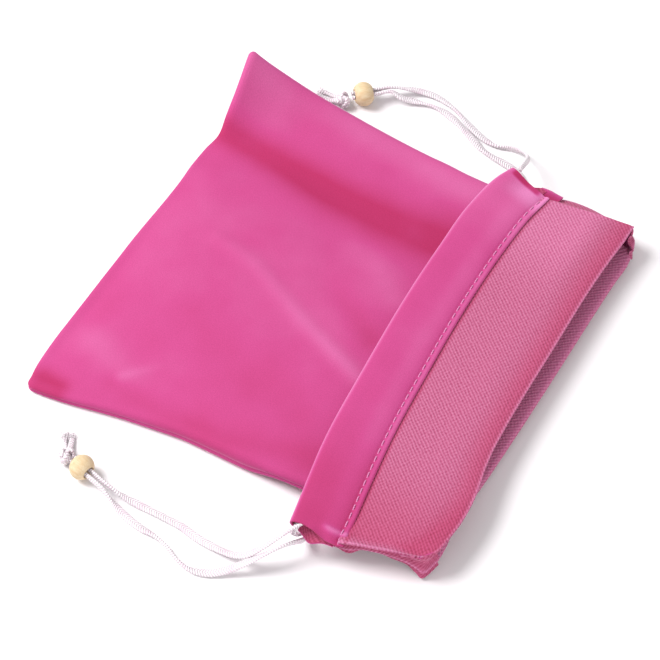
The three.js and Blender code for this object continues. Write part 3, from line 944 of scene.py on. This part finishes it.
# ---------------------------------------------------------------- the front cuff
# Most points of FREE_EDGE and RAW_EDGE are a separate program's own output: places picked in the photo,
# put through the fitted camera.
FREE_EDGE = [
    (29.3, -83.7), (26.8, -71.3), (23.1, -51.4), (20.2, -19.1), (18.3, 10.0), (17.8, 35.9),
    (18.4, 58.1), (21.2, 70.3), (24.1, 76.6),
]
RAW_EDGE = [
    (48.4, -81.4), (47.3, -71.5), (45.4, -59.8), (42.4, -39.4), (39.7, -7.0), (38.7, 8.6),
    (38.0, 36.5), (38.3, 48.7), (39.0, 60.0), (41.2, 72.7),
]
LIP_EDGE = [
    (72.0, -73.2), (74.6, -70.6), (76.1, -67.0), (76.7, -62.0), (77.2, -56.0), (77.1, -50.0),
    (76.5, -44.5), (75.3, -38.5), (74.0, -32.5), (72.9, -25.0), (72.3, -17.0), (71.8, -7.0), (71.5, 5.0),
    (71.3, 16.0), (71.0, 28.0), (70.7, 40.0), (70.7, 52.0), (71.0, 62.0), (71.5, 70.0), (71.6, 78.0),
]
CUFF_ROWS = 180
free_edge = curve(FREE_EDGE)
raw_edge = curve(RAW_EDGE)
lip_edge = curve(LIP_EDGE)
HEM_LENGTH = 160.0
KNIT_LENGTH = 155.0
FRONT_CLOTH = 0.75
BACK_CLOTH = 0.7
LIP_REACH = 3.6  # how far before the lip the flat knit hands over to the fold


def cuff_drop(share):
    """How much lower the cuff lies at its two ends."""
    return 0.5 * ramp(1 - share, 0.93, 1.0) + 0.2 * ramp(share, 0.95, 1.0)


# The hem's section: distance from the free edge towards the raw edge, and height, on its outside.
HEM_SECTION = [
    (1.000, 13.35), (0.985, 13.62), (0.955, 13.78), (0.905, 13.58), (0.880, 13.46), (0.850, 13.66),
    (0.780, 14.05), (0.650, 14.42), (0.480, 14.60), (0.300, 14.66), (0.150, 14.60), (0.060, 14.28),
    (0.015, 13.80), (0.000, 13.15), (0.012, 12.45), (0.050, 12.00), (0.150, 11.84), (0.500, 11.80),
    (0.820, 11.80),
]


def dense_ends(count):
    """0..1 in steps that are five times finer at both ends."""
    even_share = np.linspace(0, 1, count)
    return even_share - 0.8 * np.sin(2 * math.pi * even_share) / (2 * math.pi)


def hem_surface():
    share = dense_ends(CUFF_ROWS)
    section = curve([(s * 20, z) for s, z in HEM_SECTION])(np.linspace(0, 1, 84))
    s = np.maximum(section[:, 0] / 20, 0)
    z = section[:, 1]
    free = free_edge(share)
    raw = raw_edge(share)
    points = free[:, None, :] + (raw - free)[:, None, :] * s[None, :, None]
    x, y = points[..., 0].copy(), points[..., 1].copy()
    top = (np.arange(len(s)) < np.argmin(s)) * 1.0
    near_end = ramp(1 - share, 0.93, 1.0)[:, None]
    far_end = ramp(share, 0.86, 1.0)[:, None]
    height = np.repeat(z[None, :], len(share), 0)
    # near end: the top bulges out and sags towards its stitching, the lower layer droops
    out = spline([0, 0.25, 0.45, 0.75, 1.0], [0, -0.3, 0.3, 1.2, 0.3], np.clip(s, 0, 1))
    y -= near_end * out[None, :] * top
    height -= near_end * 1.2 * (s**1.5)[None, :] * top
    height += near_end * 0.5 * (1 - s)[None, :] * top
    under = (1 - top)[None, :]
    droop = ramp(1 - share, 0.955, 1.0)[:, None] * under
    y -= droop * spline([0, 0.2, 0.42, 0.62, 0.85], [0, 0.6, 2.3, 1.2, 1.0], np.clip(s, 0, 0.85))
    height -= droop * spline([0, 0.2, 0.42, 0.62, 0.85], [0, 1.6, 3.4, 2.6, 2.6], np.clip(s, 0, 0.85))
    from_end = (share * HEM_LENGTH)[:, None]
    crest = np.exp(-(((from_end - 3.4) / 1.0) ** 2)) * ramp(s, 0.5, 0.7)[None, :]
    height += (0.45 * crest - 1.5 * (1 - ramp(from_end, 0, 3)) * ramp(s, 0.4, 0.7)[None, :]) * top
    # far end: the free corner stands up, and the cloth falls away beyond a ridge
    height += far_end * 1.9 * (1 - ramp(s, 0.0, 0.5))[None, :] * (0.35 + 0.65 * top)[None, :]
    fall = ramp(share, 0.93, 1.0)[:, None]
    height -= fall * 1.0 * ramp(s, 0.12, 0.6)[None, :] * (1 - ramp(s, 0.85, 1.0))[None, :] * top
    beyond = ramp(share, 0.955, 1.0)[:, None] * under
    y += beyond * spline([0, 0.3, 0.52, 0.68, 0.85], [0, 0, 0.3, 2.6, 3.0], np.clip(s, 0, 0.85))
    height -= beyond * spline([0, 0.3, 0.52, 0.68, 0.85], [0, 0, 0.2, 1.0, 1.4], np.clip(s, 0, 0.85))
    # soft waves in the free edge, and the pull of the stitches
    ripple = 0.16 * wrinkles(x, y, 14, 21.0) + 0.05 * wrinkles(x, y, 5, 9.0)
    height += ripple * top[None, :]
    pull = np.exp(-(((s - 0.88) / 0.03) ** 2))[None, :] * top[None, :]
    along = arc_lengths(np.stack([x, y, height], axis=2), 0)
    height -= 0.12 * pull * (0.5 + 0.5 * np.cos(2 * math.pi * along / STITCH_PITCH))
    # Painted shade and highlight on the hem: painted shade towards the near end and paler towards the far
    # end, a painted highlight along the free edge, on the ridge by the raw edge, slightly across the
    # middle, across the far end and on the crest at the near end, painted shade in the dip by the stitches
    # and where the cloth falls away at the very far end, and a pale painted edge on the lower layer at the
    # near end.
    painted_shading = -0.5 * ramp(-y, 30, 66) + 0.35 * ramp(y, 40, 66)
    painted_shading += 1.7 * np.exp(-((s / 0.035) ** 2))[None, :] * np.ones_like(x)
    painted_highlight, painted_crease_shade = np.exp(-(((s - 0.955) / 0.025) ** 2)), np.exp(-(((s - 0.865) / 0.015) ** 2))
    painted_shading += 0.45 * painted_highlight[None, :] - 0.3 * painted_crease_shade[None, :]
    painted_shading += 0.2 * np.exp(-(((s - 0.66) / 0.16) ** 2))[None, :]
    painted_shading += 1.2 * ramp(share, 0.93, 0.975)[:, None] * ramp(s, 0.1, 0.55)[None, :]
    painted_far_end_shade = ramp(s, 0.08, 0.2) * (1 - ramp(s, 0.7, 0.85))
    painted_shading -= 2.4 * ramp(share, 0.983, 0.992)[:, None] * painted_far_end_shade[None, :]
    painted_shading += 1.3 * crest
    rim = 1.5 * ramp(1 - share, 0.993, 0.997)[:, None]
    painted_shading = painted_shading * top[None, :] + rim * (1 - top)[None, :]
    return np.stack([x, y, height], axis=2), s, np.clip(painted_shading, -1, 2)


STITCH_PITCH = 3.3
STITCH_AT = 0.885
STITCH_STEP = 0.4


def add_hem():
    surface, s, painted_shading = hem_surface()
    cloth = np.stack([arc_lengths(surface, 1), arc_lengths(surface, 0)], axis=2)
    # The inside of the hem, seen in the open channel ends, is painted dark all over as painted shade.
    hem = shell(
        "front_hem_velvet", surface, FRONT_CLOTH, VELVET, KNIT, False, cloth, painted_shading=painted_shading, inner_painted_shading=-1.0
    )
    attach(hem, "front_cuff")
    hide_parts("front_hem")
    column = int(np.argmin(np.abs(s[: len(s) // 2] - STITCH_AT)))
    add_stitches("front_stitches", surface[:, column], "front_cuff", "front_hem_stitching", 1)


def add_stitches(name, line, body, node, up_sign):
    """A row of lock stitches lying in the dimpled line: one small thread loop each."""
    line = even(np.asarray(line), STITCH_STEP)
    length = STITCH_STEP * (len(line) - 1)
    count = int(length // STITCH_PITCH)
    along = np.linspace(0, length, len(line))
    parts = []
    for k in range(count):
        start = (k + 0.16) * STITCH_PITCH
        where = np.linspace(start, start + STITCH_PITCH * 0.68, 11)
        share = np.linspace(-1, 1, 11)
        points = np.stack([np.interp(where, along, line[:, c]) for c in range(3)], axis=1)
        points[:, 2] += up_sign * (0.24 - 0.42 * share**4)
        side, up = braid_frames(points, np.zeros(len(points)))
        parts.append(tube_along(points, side, up, 0.24, 0.2, 8))
    points, faces, cloth = merged(parts)
    piece = make_mesh(name, points, faces, [THREAD], cloth=cloth)
    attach(piece, body)
    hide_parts(node)


# The knit side of the cuff from the raw edge to the lip: distance before the lip, and height.
KNIT_SECTION = [
    (36, 12.95), (30, 12.9), (24, 12.85), (18, 12.95), (13, 13.1), (9, 12.9), (6, 12.6),
    (LIP_REACH, 12.45),
]


def knit_surface():
    share = dense_ends(CUFF_ROWS)
    raw = raw_edge(share)
    lip = lip_edge(share)
    depth = np.linalg.norm(lip - raw, axis=1)
    count = 40
    part = np.linspace(-0.09, 1, count)
    start = 1 - LIP_REACH / depth
    s = part[None, :] * start[:, None]
    points = raw[:, None, :] + (lip - raw)[:, None, :] * s[..., None]
    before = (1 - s) * depth[:, None]
    knots, heights = zip(*KNIT_SECTION[::-1])
    z = spline(knots, heights, before.ravel()).reshape(before.shape)
    x, y = points[..., 0], points[..., 1]
    edge_share = np.minimum(share, 1 - share)[:, None]
    soft = ramp(edge_share, 0, 0.05)
    z = z - cuff_drop(share)[:, None] * ramp(s, 0.0, 0.5)
    z = z + soft * ramp(s, 0.02, 0.2) * (0.22 * wrinkles(x, y, 17, 40.0) + 0.06 * wrinkles(x, y, 6, 12.0))
    return np.stack([x, y, z], axis=2), share


LIP_ROWS = 34


def lip_surface(edge_line, raw, share, heights, outer_drop, sign):
    """The fold of the mouth from the cuff round to the inside of the panel. heights are those of the
    cuff's outer face, the fold's middle and the panel's inner face; sign is 1 for the front."""
    top, middle, inner = heights
    lip = edge_line(share)
    rows = []
    for x_off, z in ((-LIP_REACH, top), (-1.9, top - 0.16 * sign), (-0.7, top - 0.5 * sign)):
        rows.append((x_off, z))
    rows += [(-0.1, middle + 0.42 * sign), (0.0, middle), (-0.12, middle - 0.4 * sign)]
    rows += [(-0.8, inner + 0.22 * sign), (-2.2, inner), (-4.5, inner), (-6.6, inner)]
    section = curve(rows)(np.linspace(0, 1, LIP_ROWS))
    way = lip - raw
    way /= np.linalg.norm(way, axis=1, keepdims=True)
    x = lip[:, :1] + section[None, :, 0] * way[:, :1]
    y = lip[:, 1:2] + section[None, :, 0] * way[:, 1:2]
    fading = ramp(-section[:, 0], 0.3, 3.2) * (np.arange(LIP_ROWS) < np.argmax(section[:, 0]))
    z = section[None, :, 1] - outer_drop[:, None] * fading[None, :]
    return np.stack([x, y, z], axis=2)


def knit_shade(surface):
    """Painted shade and highlight on the knit: painted shade towards the lip and its near end, paler
    towards the far end, painted highlights on the lip's fold and along the near edge, and a painted shadow
    line beside the raw edge.
    """
    x, y = surface[..., 0], surface[..., 1]
    lip = np.interp(y, [b for _, b in LIP_EDGE], [a for a, _ in LIP_EDGE])
    raw = np.interp(y, [b for _, b in RAW_EDGE], [a for a, _ in RAW_EDGE])
    before = lip - x
    from_near = y - y[:1]
    shade = -0.8 * (1 - ramp(before, 1.0, 11.0)) - 0.75 * ramp(-y, 40, 78)
    shade += 0.35 * ramp(y, 30, 62) * ramp(before, 6, 16)
    shade += 1.3 * np.exp(-(((before - 0.2) / 0.55) ** 2))
    shade += 1.5 * np.exp(-(((from_near - 0.3) / 0.9) ** 2)) + 0.4 * np.exp(-(((from_near - 2) / 1.2) ** 2))
    shade -= 1.1 * np.exp(-(((x - raw - 0.3) / 0.55) ** 2))
    return np.clip(shade, -1, 1)


RAW_TAB = (
    [(32.0, 69.0, 11.7), (37.5, 69.0, 11.7), (43.0, 69.0, 11.7)],
    [(36.0, 77.4, 10.6), (40.0, 77.8, 10.5), (44.0, 78.0, 10.2)],
)


def add_raw_tab():
    """The unsewn end of the hem's allowance, which shows beyond the channel's far end."""
    share = np.linspace(0, 1, 16)
    inner, outer = (curve(line)(share) for line in RAW_TAB)
    down = np.linspace(0, 1, 10)
    points = inner[:, None, :] + (outer - inner)[:, None, :] * down[None, :, None]
    points[..., 2] += 0.35 * np.sin(4.5 * share + 0.6)[:, None] * down[None, :]
    # Painted shade over the tab, with a painted highlight along its outer edge.
    painted_shading = np.broadcast_to(-0.9 + 1.6 * down[None, :] ** 6, points.shape[:2])
    tab = shell("front_raw_tab", points, 0.8, VELVET, KNIT, False, painted_shading=painted_shading)
    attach(tab, "front_cuff")
    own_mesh(tab)


def add_knit_and_fold(side, whole, border, painted_shading, thickness):
    """The knit side of a cuff and the fold of its lip, cut from one grid at the border column."""
    cloth = np.stack([whole[:, :1, 0] + arc_lengths(whole, 1), whole[..., 1]], axis=2)

    def cut(name, columns):
        return shell(name, whole, thickness, KNIT, VELVET, side == "front", cloth, None, columns, painted_shading)

    knit = cut(f"{side}_cuff_knit", (0, border))
    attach(knit, f"{side}_cuff")
    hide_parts(f"{side}_cuff")
    fold = cut(f"{side}_mouth_fold", (border - 1, whole.shape[1]))
    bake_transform(fold)


def add_front_cuff():
    add_hem()
    add_raw_tab()
    flat_part, share = knit_surface()
    drop = cuff_drop(share)
    lip = lip_surface(lip_edge, raw_edge(share), share, (12.42, 11.5, 10.72), drop, 1)
    whole = np.concatenate([flat_part, lip[:, 1:]], axis=1)
    border = flat_part.shape[1]
    from_near = (share * KNIT_LENGTH)[:, None]
    ridge = 0.7 * np.exp(-((from_near / 0.9) ** 2)) - 0.5 * np.exp(-(((from_near - 4) / 2.5) ** 2))
    whole[..., 2] += ridge * ramp(whole[..., 0] - whole[:, :1, 0], 1, 5) * ramp(whole[..., 2], 11.6, 12.1)
    painted_shading = knit_shade(whole)
    add_knit_and_fold("front", whole, border, painted_shading, FRONT_CLOTH)


# ---------------------------------------------------------------- the back cuff, under the pouch
BACK_LIP = [
    (73.6, -71.6), (75.4, -67.4), (75.4, -62.0), (74.6, -56.0), (74.1, -49.0), (74.3, -40.0),
    (74.6, -30.0), (74.8, -15.0), (74.8, 20.0), (74.6, 45.0), (74.7, 60.0), (75.0, 68.0), (74.0, 73.5),
]
BACK_FREE = [(22.0, -64.0), (20.8, -45), (20.4, 0), (20.6, 40), (21.5, 74.0)]
BACK_RAW = [(41.0, -71.0), (40.6, 0), (41.0, 75.0)]
back_lip = curve(BACK_LIP)
back_free = curve(BACK_FREE)
back_raw = curve(BACK_RAW)
BACK_HEM_SECTION = [
    (1.0, 1.62), (0.95, 1.50), (0.90, 1.72), (0.86, 1.55), (0.78, 0.75), (0.65, 0.22), (0.45, 0.10),
    (0.25, 0.14), (0.08, 0.50), (0.01, 1.10), (0.0, 1.75), (0.012, 2.5), (0.05, 3.2), (0.15, 3.52),
    (0.5, 3.58), (0.82, 3.58),
]


def add_back_cuff():
    share = np.linspace(0, 1, 90)
    section = curve([(s * 20, z) for s, z in BACK_HEM_SECTION])(np.linspace(0, 1, 56))
    s = section[:, 0] / 20
    free, raw = back_free(share), back_raw(share)
    points = free[:, None, :] + (raw - free)[:, None, :] * s[None, :, None]
    z = np.repeat(section[:, 1][None, :], len(share), 0)
    surface = np.concatenate([points, z[..., None]], axis=2)
    cloth = np.stack([arc_lengths(surface, 1), arc_lengths(surface, 0)], axis=2)
    hem = shell("back_hem_velvet", surface, BACK_CLOTH, VELVET, KNIT, True, cloth)
    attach(hem, "back_cuff")
    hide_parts("back_hem")
    column = int(np.argmin(np.abs(s[:20] - STITCH_AT)))
    add_stitches("back_stitches", surface[:, column], "back_cuff", "back_hem_stitching", -1)
    lip = back_lip(share)
    count = 26
    part = np.linspace(-0.04, 1, count)
    depth = np.linalg.norm(lip - raw, axis=1)
    start = 1 - LIP_REACH / depth
    s = part[None, :] * start[:, None]
    points = raw[:, None, :] + (lip - raw)[:, None, :] * s[..., None]
    z = 2.75 - 0.35 * ramp(s, 0.3, 1.0) + 0.15 * wrinkles(points[..., 0], points[..., 1], 15, 70.0)
    flat_part = np.concatenate([points, z[..., None]], axis=2)
    fold = lip_surface(back_lip, raw, share, (2.4, 3.7, BACK_TOP), np.zeros(len(share)), -1)
    whole = np.concatenate([flat_part, fold[:, 1:]], axis=1)
    border = flat_part.shape[1]
    # Painted shade on the low knit, turning to a painted highlight where the fold rises towards the panel.
    painted_shading = -0.45 + 1.1 * ramp(whole[..., 2], 3.2, 4.6)
    add_knit_and_fold("back", whole, border, painted_shading, BACK_CLOTH)


# ---------------------------------------------------------------- sides of the cuff
# A side wall hangs from the front cuff's edge, folds once and ends at the back cuff's edge.
# Three lines, and its section between them: how far it stands out, and the share of the way down,
# which is 1 at the middle line and 2 at the low one. areas are the flat areas of a wall's upper and lower
# half in square metres. They were read off the finished meshes, so they don't test the cloth's shape.
WALL_SECTION = [
    (0.0, 0.00), (0.35, 0.10), (-0.5, 0.35), (-0.9, 0.62), (0.0, 0.92), (0.35, 1.04), (-0.4, 1.30),
    (-0.3, 1.62), (0.3, 1.86), (0.0, 2.0),
]
WALL_SPLIT = 0.62
WALLS = {
    "near": {
        "side": -1,
        "areas": (0.000164, 0.00029),
        "top": [
            (44.8, -82.2, 10.6), (50.0, -80.4, 12.2), (54.0, -79.0, 12.4), (58.0, -77.7, 12.4),
            (63.0, -76.0, 12.3), (68.0, -74.4, 12.1), (71.6, -73.2, 11.9), (74.4, -70.6, 11.8),
            (76.0, -66.8, 11.7),
        ],
        "mid": [
            (44.2, -82.6, 9.6), (49.6, -80.8, 9.0), (53.4, -78.4, 9.0), (57.6, -76.8, 8.6),
            (63.0, -75.2, 7.6), (68.0, -74.2, 6.6), (71.4, -73.9, 5.6), (74.0, -73.3, 4.6),
            (75.9, -67.6, 6.0),
        ],
        "low": [
            (43.8, -80.6, 7.4), (49.4, -80.5, 6.1), (52.6, -77.0, 6.0), (57.2, -75.0, 5.4),
            (62.6, -73.8, 4.0), (67.2, -73.0, 2.8), (70.8, -73.8, 1.7), (73.7, -74.0, 0.9),
            (75.9, -67.6, 2.2),
        ],
    },
    "far": {
        "side": 1,
        "areas": (0.00016, 0.000345),
        "top": [
            (40.5, 72.4, 12.5), (45.0, 73.2, 12.5), (50.0, 74.0, 12.5), (56.0, 75.0, 12.4),
            (62.0, 76.1, 12.3),
            (67.0, 77.0, 12.2), (70.4, 77.6, 11.9), (71.5, 76.8, 11.6), (71.9, 75.2, 11.4),
        ],
        "mid": [
            (41.2, 75.6, 9.4), (44.6, 78.4, 8.0), (49.5, 79.8, 7.3), (54.5, 80.2, 7.0), (60.0, 79.8, 6.8),
            (65.5, 78.8, 6.8), (70.4, 77.6, 7.2), (73.0, 75.6, 7.8), (74.6, 71.8, 7.6),
        ],
        "low": [
            (41.0, 76.0, 4.4), (45.0, 77.6, 3.8), (50.0, 78.0, 3.2), (55.0, 77.8, 2.6), (60.5, 77.2, 2.2),
            (66.0, 76.4, 1.8), (70.6, 75.4, 1.5), (73.2, 74.4, 1.5), (74.8, 71.4, 2.6),
        ],
    },
}


def add_wall(name, wall):
    share = np.linspace(0, 1, 64)
    knots = np.linspace(0, 1, len(wall["top"]))
    top, mid, low = (spline(knots, wall[line], share) for line in ("top", "mid", "low"))
    section = curve([(out, down * 5) for out, down in WALL_SECTION])(np.linspace(0, 1, 60))
    out, down = section[:, 0], np.clip(section[:, 1] / 5, 0, 2)
    first = np.minimum(down, 1)[None, :, None]
    second = np.maximum(down - 1, 0)[None, :, None]
    points = top[:, None, :] * (1 - first) + mid[:, None, :] * (first - second) + low[:, None, :] * second
    along = np.gradient(top, axis=0)
    outward = np.stack([along[:, 1], -along[:, 0], np.zeros(len(share))], axis=1) * -wall["side"]
    outward /= np.linalg.norm(outward, axis=1, keepdims=True)
    points = points + outward[:, None, :] * out[None, :, None]
    points[..., 1] += 0.25 * wrinkles(points[..., 0], points[..., 2], 7, 30.0 + wall["side"])
    cloth = np.stack([arc_lengths(points, 1), arc_lengths(points, 0)], axis=2)
    # Painted shade over the wall, with painted highlights along its middle fold and its low edge.
    painted_shading = -0.6 + 1.2 * np.exp(-(((down - 1.0) / 0.08) ** 2)) + 0.8 * np.exp(-(((down - 2.0) / 0.1) ** 2))
    painted_shading = np.broadcast_to(painted_shading[None, :], points.shape[:2])
    split = int(np.argmax(down > WALL_SPLIT))
    flip = wall["side"] < 0

    def half(side, columns):
        made = f"{name}_{side}_side"
        return shell(made, points, BACK_CLOTH, KNIT, VELVET, flip, cloth, None, columns, painted_shading)

    upper = half("front", (0, split + 1))
    lower = half("back", (split, len(down)))
    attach(upper, "front_cuff")
    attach(lower, "back_cuff")
    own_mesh(upper)
    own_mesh(lower)
    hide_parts(f"front_cuff_{name}_allowance")
    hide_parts(f"back_cuff_{name}_allowance")


# ---------------------------------------------------------------- cords in the channels
def braid_piece(name, points_mm, roll_degrees, body, node, half_width=1.4):
    line = even(centripetal(np.asarray(points_mm, float)), 0.5)
    share = np.linspace(0, 1, len(line))
    roll = np.radians(spline(np.linspace(0, 1, len(roll_degrees)), roll_degrees, share))
    side, up = braid_frames(line, roll)
    points, faces, cloth = tube_along(line, side, up, half_width, 0.6, 12)
    piece = make_mesh(name, points, faces, [SATIN], cloth=cloth)
    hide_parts(node)
    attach(piece, body)
    return piece


CROSSING_ROLLS = [10, 30, 20, -10, -20, 0]


def add_channel_cords():
    front, back = FRONT_CORD_HEIGHT / MM, BACK_CORD_HEIGHT / MM
    ends = {"near": ((34.6, -78.2), (29.8, 72.5)), "far": ((33.4, -77.0), (26.6, 77.0))}
    for name, ((x0, y0), (x1, y1)) in ends.items():
        middle = (28.0 if name == "near" else 25.0, 10.0)
        line = [(x0, y0, front - 0.3), (*middle, front - 0.5), (x1, y1 - 1.5, front - 0.9)]
        run = (f"{name}_front_run", f"{name}_cord_front_run")
        braid_piece(f"{name}_front_channel_cord", line, [0, 0, 0], *run)
        line = [(x0 - 1, -76.5, back + 0.2), (*middle, back), (x1, 76.0, back + 0.2)]
        run = (f"{name}_back_run", f"{name}_cord_back_run")
        braid_piece(f"{name}_back_channel_cord", line, [0, 0, 0], *run)
    loops = {
        "far": [
            (32.6, -77.5, 13.4), (32.0, -81.0, 13.2), (31.4, -84.0, 11.6), (31.2, -84.4, 8.6),
            (31.6, -82.0, 5.2), (32.0, -78.6, 3.0),
        ],
        "near": [
            (30.0, 71.5, 12.7), (30.3, 75.2, 12.1), (30.4, 76.2, 10.4), (30.4, 76.2, 7.6),
            (30.2, 75.2, 4.8), (30.0, 73.0, 2.9),
        ],
    }
    for name, line in loops.items():
        node = f"{name}_cord_crossing"
        piece = braid_piece(f"{name}_crossing_braid", line, CROSSING_ROLLS, "front_cuff", node)
        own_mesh(piece)


# ---------------------------------------------------------------- floor and light
FLOOR_HALF = 3.0
FLOOR_Z = -0.00005
WORLD_STRENGTH = 0.62
LIGHT_SIZE = 0.8


def add_stage():
    mesh = bpy.data.meshes.new("floor")
    corners = [(x * FLOOR_HALF, y * FLOOR_HALF, FLOOR_Z) for x, y in ((-1, -1), (1, -1), (1, 1), (-1, 1))]
    mesh.from_pydata(corners, [], [(0, 1, 2, 3)])
    floor = link(mesh, "floor")
    n = Nodes("floor_paper")
    position = n.node("TexCoord").outputs["Object"]
    n.colour(n.mix(n.noise(position, 40, 2), (0.83, 0.805, 0.82, 1), (0.85, 0.825, 0.84, 1)))
    n.set(Roughness=0.95, Specular_IOR_Level=0.1)
    mesh.materials.append(n.material)


def add_light(name, position, power):
    """A round white lamp that looks at the origin."""
    data = bpy.data.lights.new(name, "AREA")
    data.shape = "DISK"
    data.size = LIGHT_SIZE
    data.energy = power
    light = bpy.data.objects.new(name, data)
    light.location = position
    direction = -Vector(position)
    light.rotation_mode = "QUATERNION"
    light.rotation_quaternion = direction.to_track_quat("-Z", "Y")
    bpy.context.scene.collection.objects.link(light)


def add_lights():
    world = bpy.data.worlds.new("studio")
    world.use_nodes = True
    background = world.node_tree.nodes["Background"]
    background.inputs["Color"].default_value = (1.0, 1.0, 1.0, 1)
    background.inputs["Strength"].default_value = WORLD_STRENGTH
    bpy.context.scene.world = world
    add_light("key", (-0.85, -0.25, 1.05), 25.0)
    add_light("fill", (1.2, -0.7, 0.45), 8.0)
    bpy.context.scene.view_settings.view_transform = "Standard"
    bpy.context.scene.view_settings.look = "None"


add_stage()
add_lights()
add_panels()
add_front_cuff()
add_back_cuff()
for wall_name, wall_shape in WALLS.items():
    add_wall(wall_name, wall_shape)
add_channel_cords()
